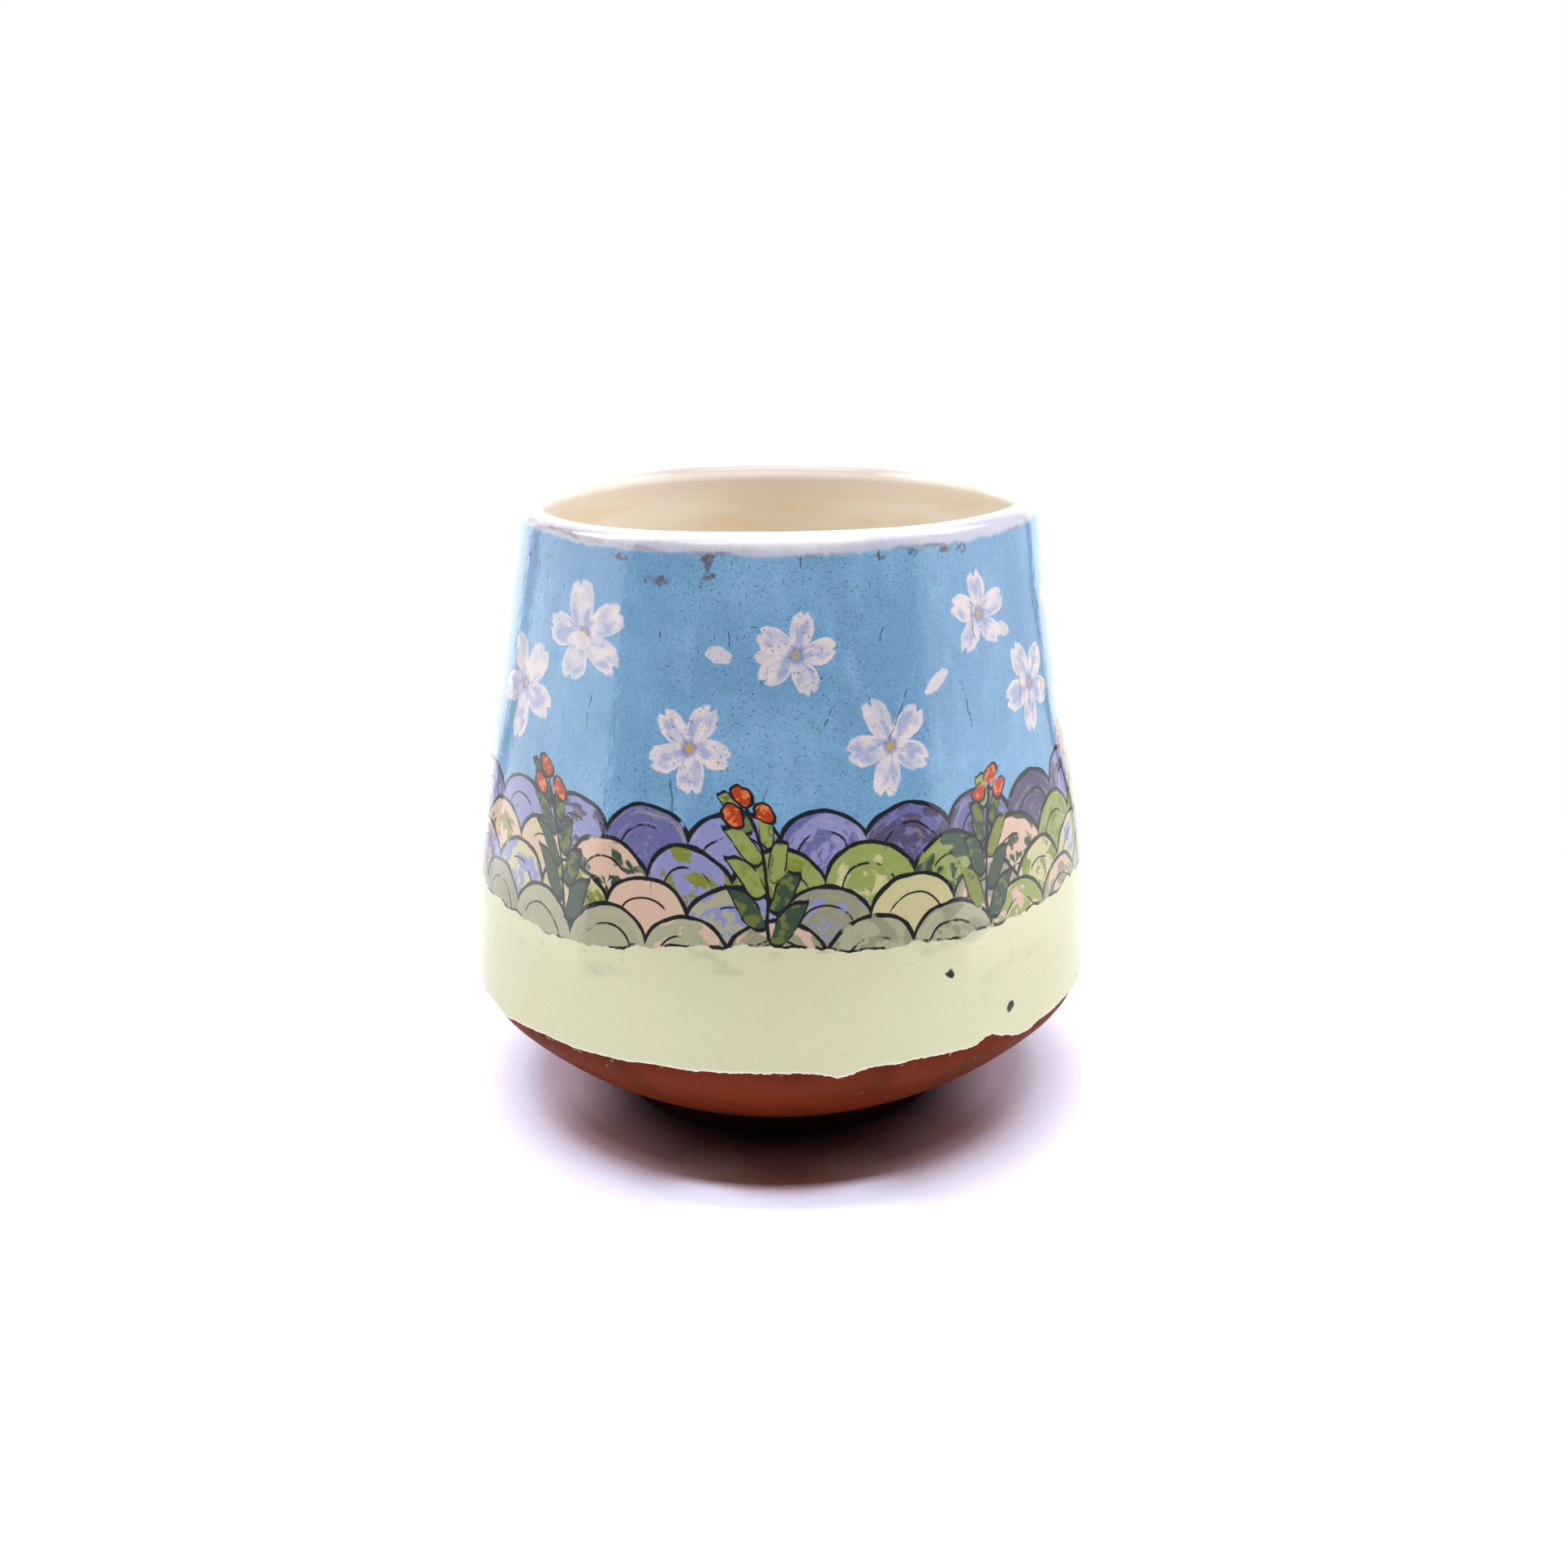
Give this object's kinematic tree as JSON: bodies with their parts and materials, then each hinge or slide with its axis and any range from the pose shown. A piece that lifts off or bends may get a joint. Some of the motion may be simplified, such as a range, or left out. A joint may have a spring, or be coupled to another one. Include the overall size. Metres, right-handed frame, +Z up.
{
  "type": "handleless mug",
  "caption": "Hand-thrown mug without a handle: rounded lip, wall that leans in, tight shoulder, turned foot ring, and a glazed slip coat that ends in a torn edge over bare clay.",
  "frame": {"origin": "centre of the foot ring's table face", "axes": "+Z up along the axis of the wheel; -Y towards the pictured front"},
  "size_m": [0.095, 0.095, 0.0915],
  "materials": {
    "glazed_earthenware": "glossy clear glaze over painted slip, with bare matt red clay below the torn edge"
  },
  "bodies": {
    "root": {"mug_body": "glazed_earthenware"}
  },
  "joints": []
}
